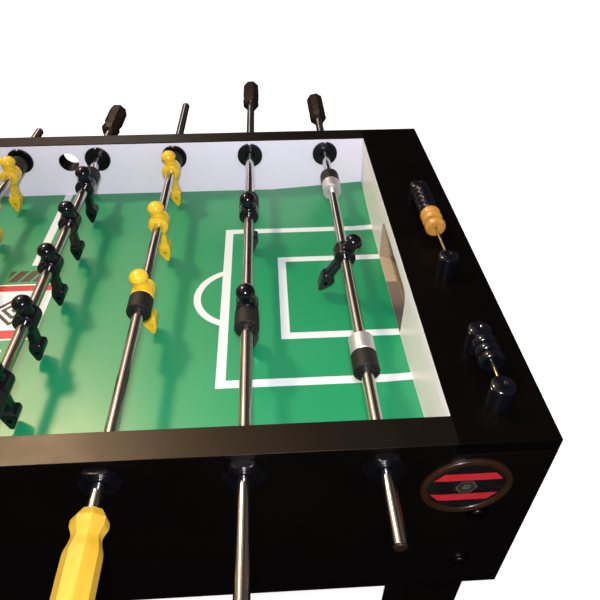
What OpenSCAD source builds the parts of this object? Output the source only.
// Foosball table with eight through rods. All sizes are in millimetres.
// X runs along the playfield from goal to goal, Y across it, Z up from the floor.

/* [Playfield] */
// Length of the playfield between the two end walls
play_l = 1206; // [1200:1:1220]
// Width of the playfield between the two side walls
play_w = 686; // [680:2:700]
// Height of the playing surface above the floor
play_h = 804; // [780:1:820]
// Thickness of the playfield board
play_t = 16; // [12:1:19]
// Height that the corner ramps rise to in the corners
ramp_rise = 13; // [6:1:16]
// Length of a corner ramp along each wall
ramp_run = 183; // [120:1:200]

/* [Cabinet] */
// Height of the rim above the playing surface
rim_h = 110; // [106:1:120]
// Thickness of a side wall with its white liner
side_t = 38; // [32:1:45]
// Height of the side panels
panel_h = 330; // [300:5:360]
// Thickness of the end panels, end walls and end ledges
board_t = 19; // [16:1:22]
// Length of the flat ledge at each end of the table
ledge_l = 108; // [100:1:120]
// Thickness of the white liner on the side walls
liner_t = 1; // [0.8:0.1:2]
// Thickness of the board that closes the cabinet underneath
floor_t = 12; // [9:1:19]

/* [Goals and ball return] */
// Width of a goal opening
goal_w = 200; // [180:2:210]
// Height of a goal opening above the playing surface
goal_h = 76; // [65:1:80]
// Radius of a goal opening's upper corners
goal_r = 18; // [6:1:24]
// Thickness of the plywood behind a goal
ply_t = 8; // [6:1:10]
// Width of the ball return opening in an end panel
return_w = 150; // [120:5:180]
// Height of the ball return opening
return_h = 60; // [50:1:80]
// Height of the lip that keeps a ball in the return opening
return_lip = 8; // [6:1:14]
// Diameter of the serving hole in each side wall
serve_d = 38.5; // [36:0.5:44]
// Distance of each serving hole from the table's middle, along X
serve_x = 17; // [0:1:25]
// Height of the serving holes above the playing surface
serve_z = 72.5; // [60:0.5:80]

/* [Rods] */
// Distance between two neighbouring rods
rod_pitch = 150; // [148:1:150]
// Height of the rods above the playing surface
rod_z = 79; // [79:0.5:82]
// Outer diameter of a rod's tube
rod_d = 15.88; // [15:0.01:16]
// Wall thickness of a rod's tube
rod_wall = 2.44; // [2:0.02:3]
// Diameter of the bores that a rod turns in
bore_d = 16; // [15.95:0.01:16.05]
// Diameter of a bearing's flange inside the table
flange_d = 49; // [44:1:52]
// Thickness of a bearing's flange
flange_t = 5; // [4:0.5:6]
// Width across the flats of a bearing's outer nut
nut_af = 43; // [40:1:46]
// Thickness of a bearing's outer nut
nut_t = 8; // [7:0.5:10]
// Length of a rubber bumper
bumper_l = 29; // [25:1:32]
// Diameter of a rubber bumper
bumper_d = 34; // [30:1:38]

/* [Men] */
// Spacing of the men on a five-man rod
spacing_5 = 120; // [116:1:122]
// Spacing of the men on a three-man rod
spacing_3 = 183; // [176:1:188]
// Spacing of the men on a two-man rod
spacing_2 = 245; // [236:1:252]
// Distance from a rod's axis to a man's toe
toe_r = 73.6; // [70:0.1:74]
// Radius of a man's head
head_r = 13.5; // [13:0.5:15]
// Radius of a man's body, round the rod
torso_r = 16.5; // [15:0.5:18]
// Width of a man's body, along the rod
torso_w = 33; // [28:1:34]
// Angle that the visible goalkeeper is turned to at rest
keeper_tilt = 31; // [0:1:45]

/* [Handles] */
// Length of a handle
handle_l = 105; // [100:1:125]
// Width of a handle across its flats
handle_af = 35; // [32:1:37]

/* [Score counters] */
// Diameter of a counter's post
post_d = 28; // [24:1:30]
// Height of a counter's post
post_h = 34; // [30:1:38]
// Diameter of a counter bead
bead_d = 31; // [26:1:32]
// Diameter of a counter's wire
wire_d = 4; // [3:0.5:5]

/* [Legs] */
// Width of a square leg
leg_w = 88; // [80:1:88]
// Height of a leg's lower end above the floor
leg_z = 14; // [12:1:16]
// Diameter of a leveller's foot
foot_d = 50; // [40:1:60]

/* [Hidden] */
$fn = 48;

half_l = play_l / 2;
half_w = play_w / 2;
outer_x = half_l + ledge_l;
outer_y = half_w + side_t;
rim_z = play_h + rim_h;
base_z = rim_z - panel_h;
ledge_z = rim_z - board_t;
end_x = outer_x - board_t;
seam_x = half_l - 3;
axis_z = play_h + rod_z;

// Goal chute: the ball drops behind the goal and stops at the return opening
wall_back = half_l + board_t;
chute_z = 640;
return_z = chute_z + ply_t + return_lip;
board_gap = 0.2;

// Rods, numbered 1 to 8 from the goal at +X
ROD_NUMBERS = [1:8];
MEN = [1, 2, 3, 5, 5, 3, 2, 1];
SPACING = [0, 0, spacing_2, spacing_3, 0, spacing_5];
// +1 is the black team with handles at +Y, -1 the yellow team with handles at -Y
SIDE = [1, 1, -1, 1, -1, 1, -1, -1];
// Where each rod stands along Y at rest, and how far it is turned
REST_Y = [0, 6, 107, -4, 44, -30, -6, 12];
REST_TURN = [keeper_tilt, -2, -4, 2, 5, 0, 0, 0];

// A man's head is a ball cut flat at the chin, on a round neck
head_z = 25.5;
chin_z = 24;
neck_r = 10;

fit_gap = 0.3;
stop_gap = 0.5;
collar_y = 190;
collar_l = 29;
nut_face = outer_y + nut_t;
plug_t = 3;
handle_gap = 28;
handle_depth = 85;
sleeve_d = 28;

// Half of the men's row, its bumper end, and the travel each way from the middle
function men_half(n) = SPACING[n] * (n - 1) / 2;
function bumper_y(n) = n == 1 ? collar_y + collar_l + fit_gap : men_half(n) + torso_w / 2 + fit_gap;
function travel(n) = half_w - flange_t - bumper_y(n) - bumper_l - stop_gap;
function handle_y(n) = nut_face + travel(n) + handle_gap;
function bare_y(n) = outer_y + travel(n) + 3;

// Score counters on an end ledge, placed along Y
counter_x = half_l + ledge_l / 2;
LONG_POSTS = [104, -94];
SHORT_POSTS = [-241, -329];
wire_h = 25;
bead_pitch = 13;
bead_t = 12.7;
bead_gap = 6;
black_start = LONG_POSTS[0] - post_d / 2 - 1;
tan_start = black_start - 5 * bead_pitch;
short_start = SHORT_POSTS[0] - post_d / 2 - 1;

medallion_x = 622;
medallion_z = play_h + 31;
medallion_r = 52;
bolt_x = half_l + ledge_l / 2 - board_t / 2;
BOLT_HEIGHTS = [play_h - 150, play_h - 30];
leg_x = end_x - leg_w;
leg_y = half_w - leg_w;
leg_top = play_h - play_t - board_gap;
stem_d = 12;

// A copy of the children at each end of the table, turned half round
module both_ends() {
    children();
    rotate([0, 0, 180]) children();
}

// A copy of the children in each corner
module four_corners() {
    for (sx = [-1, 1], sy = [-1, 1]) to_corner(sx, sy) children();
}

// Mirrors the children of the corner at +X, +Y to the corner with these signs
module to_corner(sx, sy) {
    mirror([sx < 0 ? 1 : 0, 0, 0]) mirror([0, sy < 0 ? 1 : 0, 0]) children();
}

// A round bar along Y from y0 to y1
module bar_y(d, y0, y1) {
    translate([0, y0, 0]) rotate([-90, 0, 0]) cylinder(d = d, h = y1 - y0);
}

// A shape drawn in X and Z, extruded along Y from y0 to y1
module extrude_y(y0, y1) {
    translate([0, y1, 0]) rotate([90, 0, 0]) linear_extrude(y1 - y0) children();
}

// Holes for the bearings and the serving hole, through both side walls
module wall_holes() {
    for (i = ROD_NUMBERS) translate([rod_x(i), 0, axis_z])
        bar_y(sleeve_d + 2 * fit_gap, -outer_y - 1, outer_y + 1);
    both_ends() translate([serve_x, 0, play_h + serve_z]) bar_y(serve_d, 0, outer_y + 1);
}

function rod_x(i) = (4.5 - i) * rod_pitch;

// ---- cabinet ----

module side_profile() {
    polygon([
        [-outer_x, base_z], [outer_x, base_z], [outer_x, ledge_z], [seam_x, ledge_z],
        [seam_x, rim_z], [-seam_x, rim_z], [-seam_x, ledge_z], [-outer_x, ledge_z]
    ]);
}

module side_panels() {
    color([0.05, 0.04, 0.04]) difference() {
        both_ends() extrude_y(half_w + liner_t, outer_y) side_profile();
        wall_holes();
        four_corners() for (z = BOLT_HEIGHTS)
            translate([bolt_x, 0, z]) bar_y(10.4, half_w, outer_y + 1);
    }
}

module side_liners() {
    color([0.93, 0.94, 0.97]) difference() {
        both_ends() translate([-half_l, half_w, play_h]) cube([play_l, liner_t, rim_h - 2]);
        both_ends() translate([seam_x - board_gap, -outer_y, ledge_z - board_gap])
            cube([ledge_l, 2 * outer_y, board_t]);
        wall_holes();
    }
}

module end_panels() {
    color([0.05, 0.04, 0.04]) both_ends() difference() {
        translate([end_x, -half_w, base_z]) cube([board_t, play_w, panel_h - board_t]);
        translate([end_x - 1, -return_w / 2, return_z]) cube([board_t + 2, return_w, return_h]);
    }
}

// Goal opening drawn in Y and Z, with round upper corners
module goal_outline() {
    translate([-goal_w / 2, 0]) square([goal_w, goal_h - goal_r]);
    translate([-goal_w / 2 + goal_r, 0]) square([goal_w - 2 * goal_r, goal_h]);
    for (s = [-1, 1]) translate([s * (goal_w / 2 - goal_r), goal_h - goal_r]) circle(r = goal_r);
}

module end_walls() {
    color([0.95, 0.94, 0.90]) both_ends() difference() {
        translate([half_l, -half_w, play_h - play_t]) cube([board_t, play_w, ledge_z - play_h + play_t]);
        translate([half_l - 1, 0, play_h]) rotate([90, 0, 90]) linear_extrude(board_t + 2) goal_outline();
    }
}

module end_ledges() {
    color([0.05, 0.04, 0.04]) both_ends()
        translate([seam_x, -outer_y, ledge_z]) cube([outer_x - seam_x, 2 * outer_y, board_t]);
}

module cabinet_floor() {
    notch = leg_w + 2;
    color([0.35, 0.28, 0.20]) difference() {
        translate([-end_x, -half_w, base_z]) cube([2 * end_x, play_w, floor_t]);
        four_corners() translate([end_x - notch, half_w - notch, base_z - 1])
            cube([notch + 1, notch + 1, floor_t + 2]);
    }
}

module playfield() {
    color([0.18, 0.60, 0.37])
        translate([-half_l, -half_w, play_h - play_t]) cube([play_l, play_w, play_t]);
}

// Low three-sided wedges that roll the ball out of the corners
module corner_ramps() {
    color([0.18, 0.60, 0.37]) four_corners() translate([half_l, half_w, play_h]) polyhedron(
        points = [[0, 0, 0], [-ramp_run, 0, 0], [0, -ramp_run, 0], [0, 0, ramp_rise]],
        faces = [[0, 1, 2], [0, 3, 1], [0, 2, 3], [1, 3, 2]]
    );
}

// Plywood chute behind each goal, made of six boards
module goal_boxes() {
    inside = goal_w / 2 + 2;
    width = 2 * (inside - board_gap);
    front = wall_back + board_gap;
    depth = end_x - wall_back - 2 * board_gap;
    top = ledge_z - board_gap;
    color([0.72, 0.60, 0.45]) both_ends() {
        for (s = [0, 1]) mirror([0, s, 0])
            translate([front, inside, chute_z]) cube([depth, ply_t, top - chute_z]);
        back_z = return_z + return_h + board_gap;
        translate([end_x - ply_t - board_gap, -width / 2, back_z]) cube([ply_t, width, top - back_z]);
        front_z = chute_z + ply_t + board_gap;
        translate([front, -width / 2, front_z]) cube([ply_t, width, play_h - 2 * play_t - front_z]);
        extrude_y(-width / 2, width / 2) polygon([
            [front, play_h - play_t - 8], [front, play_h - 1],
            [wall_back + 18, play_h - 12], [wall_back + 18, play_h - 20]
        ]);
        translate([front, -width / 2, chute_z]) cube([depth, width, ply_t]);
    }
}

// ---- bearings ----

// A bearing's flange and sleeve on the wall at +Y, round the rod's axis
module bearing_flange() {
    difference() {
        union() {
            bar_y(flange_d, half_w - flange_t, half_w);
            bar_y(sleeve_d, half_w - 1, nut_face);
        }
        bar_y(bore_d, half_w - flange_t - 1, nut_face + 1);
        translate([-2.5, half_w - flange_t - 1, flange_d / 2 - 2.5]) cube([5, 3, 4]);
    }
}

module bearing_nut() {
    difference() {
        translate([0, outer_y, 0]) rotate([-90, 0, 0]) cylinder(d = nut_af / cos(30), h = nut_t, $fn = 6);
        bar_y(sleeve_d + 0.1, outer_y - 1, nut_face + 1);
    }
}

module each_bearing() {
    for (i = ROD_NUMBERS) translate([rod_x(i), 0, axis_z]) both_ends() children();
}

module bearing_flanges() {
    color([0.06, 0.06, 0.06]) each_bearing() bearing_flange();
}

module bearing_nuts() {
    color([0.06, 0.06, 0.06]) each_bearing() bearing_nut();
}

// ---- trim, legs and levellers ----

module medallions() {
    color([0.10, 0.08, 0.08]) both_ends() translate([medallion_x, 0, medallion_z]) {
        bar_y(2 * medallion_r - 16, -outer_y - 2, -outer_y);
        difference() {
            bar_y(2 * medallion_r, -outer_y - 5, -outer_y);
            bar_y(2 * medallion_r - 18, -outer_y - 6, -outer_y - 2);
        }
    }
}

module legs() {
    color([0.05, 0.04, 0.04]) four_corners() difference() {
        translate([leg_x, leg_y, leg_z]) cube([leg_w - board_gap, leg_w - board_gap, leg_top - leg_z]);
        translate([leg_x + leg_w / 2, leg_y + leg_w / 2, leg_z - 1]) cylinder(d = stem_d + 0.16, h = 66);
        for (z = BOLT_HEIGHTS) translate([bolt_x, 0, z]) bar_y(10.4, half_w - 40, half_w + 1);
    }
}

module leg_bolts() {
    color([0.55, 0.55, 0.57]) four_corners() for (z = BOLT_HEIGHTS) translate([bolt_x, 0, z]) {
        bar_y(10, half_w - 38, outer_y + 1);
        bar_y(28, outer_y, outer_y + 2);
        bar_y(20, outer_y + 1.5, outer_y + 7);
    }
}

// Corners in the order of levellers 1 to 4
CORNERS = [[1, -1], [1, 1], [-1, 1], [-1, -1]];

module leveller(i) {
    color([0.25, 0.25, 0.26]) to_corner(CORNERS[i - 1][0], CORNERS[i - 1][1])
        translate([leg_x + leg_w / 2, leg_y + leg_w / 2, 0]) {
            cylinder(d = foot_d, h = 9);
            cylinder(d = stem_d, h = leg_z + 60);
        }
}

// ---- score counters ----

module each_post() {
    both_ends() for (y = concat(LONG_POSTS, SHORT_POSTS)) translate([counter_x, y, rim_z]) children();
}

module score_posts() {
    color([0.06, 0.06, 0.07]) difference() {
        each_post() rotate_extrude() polygon([
            [0, 0], [post_d / 2, 0], [post_d / 2, post_h - 5], [post_d / 2 - 2, post_h - 3],
            [post_d / 2 - 6, post_h - 1], [0, post_h]
        ]);
        both_ends() for (p = [LONG_POSTS, SHORT_POSTS])
            translate([counter_x, 0, rim_z + wire_h]) bar_y(wire_d + 0.1, p[1], p[0]);
    }
}

module score_wires() {
    color([0.60, 0.52, 0.36]) both_ends() for (p = [LONG_POSTS, SHORT_POSTS])
        translate([counter_x, 0, rim_z + wire_h]) bar_y(wire_d, p[1] + 0.5, p[0] - 0.5);
}

// Outline of half a bead, from its bore outwards
bead_r = bead_d / 2;
bead_bore = wire_d / 2 + 0.08;
BEAD = [
    [bead_bore, 2.5], [bead_bore + 3, 1], [bead_r - 3, 0], [bead_r - 1, 1.5], [bead_r, 4],
    [bead_r, bead_t - 4], [bead_r - 1, bead_t - 1.5], [bead_r - 3, bead_t],
    [bead_bore + 3, bead_t - 1], [bead_bore, bead_t - 2.5]
];

// A row of beads on a wire, from y towards -Y
module bead_row(y, count, gap_after) {
    for (k = [0:count - 1]) {
        extra = k > gap_after ? bead_gap : 0;
        translate([counter_x, y - k * bead_pitch - extra, rim_z + wire_h])
            rotate([90, 0, 0]) rotate_extrude() polygon(BEAD);
    }
}

// Turns the counter of the goal at +X round to the other end
module to_end(e) {
    rotate([0, 0, e == "left" ? 180 : 0]) children();
}

module beads_long_black(e) {
    color([0.06, 0.06, 0.07]) to_end(e) bead_row(black_start, 5, 5);
}

module beads_long_tan(e) {
    color([0.84, 0.58, 0.27]) to_end(e) bead_row(tan_start, 3, 1);
}

module beads_short(e) {
    color([0.06, 0.06, 0.07]) to_end(e) bead_row(short_start, 3, 3);
}

// ---- rods ----

// Puts a rod's children at its place: drawn along +Y with the handle at +Y
module on_rod(i) {
    translate([rod_x(i), REST_Y[i - 1], axis_z]) rotate([0, REST_TURN[i - 1], 0])
        rotate([0, 0, SIDE[i - 1] > 0 ? 0 : 180]) children();
}

function team_color(i) = SIDE[i - 1] > 0 ? [0.08, 0.08, 0.10] : [0.92, 0.74, 0.14];

module rod_tube(i) {
    n = MEN[i - 1];
    color([0.78, 0.78, 0.80]) on_rod(i) difference() {
        bar_y(rod_d, -bare_y(n) + plug_t, handle_y(n) + handle_depth);
        bar_y(rod_d - 2 * rod_wall, -bare_y(n), handle_y(n) + handle_depth + 1);
    }
}

// A man round the rod's axis: head up, toe down, heel at +X and facing -X
module man() {
    side_view = [
        [-6.2, -8], [6.2, -8], [6.2, -42], [11.5, -46], [12, -54], [2.5, -toe_r],
        [-2.5, -toe_r], [-8.5, -55], [-8, -47], [-6.2, -43]
    ];
    front_view = [
        [-8.5, -8], [8.5, -8], [8.5, -42], [11, -46], [11, -toe_r], [-11, -toe_r], [-11, -46], [-8.5, -42]
    ];
    difference() {
        union() {
            bar_y(2 * torso_r, -torso_w / 2, torso_w / 2);
            cylinder(r = neck_r, h = chin_z + 1);
            intersection() {
                translate([0, 0, head_z]) sphere(r = head_r);
                translate([-head_r, -head_r, chin_z]) cube(2 * head_r);
            }
            intersection() {
                extrude_y(-14, 14) polygon(side_view);
                translate([-14, 0, 0]) rotate([90, 0, 90]) linear_extrude(28) polygon(front_view);
            }
        }
        bar_y(bore_d, -torso_w / 2 - 1, torso_w / 2 + 1);
    }
}

module rod_men(i) {
    n = MEN[i - 1];
    color(team_color(i)) on_rod(i)
        for (k = [0:n - 1]) translate([0, k * SPACING[n] - men_half(n), 0]) man();
}

// Handle, with the plug that closes the other end of the rod
module rod_handle(i) {
    n = MEN[i - 1];
    color(team_color(i)) on_rod(i) {
        translate([0, handle_y(n), 0]) handle_body();
        translate([0, -bare_y(n), 0]) {
            bar_y(rod_d - 1, 0, plug_t - 0.1);
            bar_y(rod_d - 2 * rod_wall - 0.2, 1, plug_t + 12);
        }
    }
}

// Octagonal grip that starts with a tapered collar and a waist at the table's side
module handle_body() {
    half = handle_af / 2;
    difference() {
        intersection() {
            rotate([-90, 22.5, 0]) cylinder(d = handle_af / cos(22.5), h = handle_l, $fn = 8);
            rotate([-90, 0, 0]) rotate_extrude() polygon([
                [0, 0], [half - 6, 0], [half + 1.5, 10], [half + 1.5, 17], [half - 3.5, 25],
                [half - 3.5, 30], [half + 1.5, 42], [half + 1.5, handle_l - 2],
                [half - 0.5, handle_l], [0, handle_l]
            ]);
        }
        bar_y(bore_d, -1, handle_depth + 0.2);
    }
}

module rod_bumpers(i) {
    n = MEN[i - 1];
    y = bumper_y(n);
    color([0.13, 0.12, 0.11]) translate([rod_x(i), REST_Y[i - 1], axis_z]) both_ends() difference() {
        bar_y(bumper_d, y, y + bumper_l);
        bar_y(bore_d, y - 1, y + bumper_l + 1);
    }
}

// Metal collars that stop a goalkeeper's rod
module rod_collars(i) {
    color([0.70, 0.70, 0.72]) on_rod(i) both_ends() difference() {
        bar_y(bumper_d - 1, collar_y, collar_y + collar_l);
        bar_y(bore_d, collar_y - 1, collar_y + collar_l + 1);
        translate([0, collar_y + collar_l / 2, 0]) rotate([0, 90, 0]) cylinder(d = 5, h = bumper_d);
    }
}

side_panels();
side_liners();
end_panels();
end_walls();
end_ledges();
cabinet_floor();
playfield();
corner_ramps();
goal_boxes();
bearing_flanges();
bearing_nuts();
medallions();
legs();
leg_bolts();
score_posts();
score_wires();
for (i = [1:4]) leveller(i);
for (e = ["right", "left"]) beads_long_black(e);
for (e = ["right", "left"]) beads_long_tan(e);
for (e = ["right", "left"]) beads_short(e);
for (i = ROD_NUMBERS) rod_tube(i);
for (i = ROD_NUMBERS) rod_men(i);
for (i = ROD_NUMBERS) rod_handle(i);
for (i = ROD_NUMBERS) rod_bumpers(i);
for (i = [1, 8]) rod_collars(i);
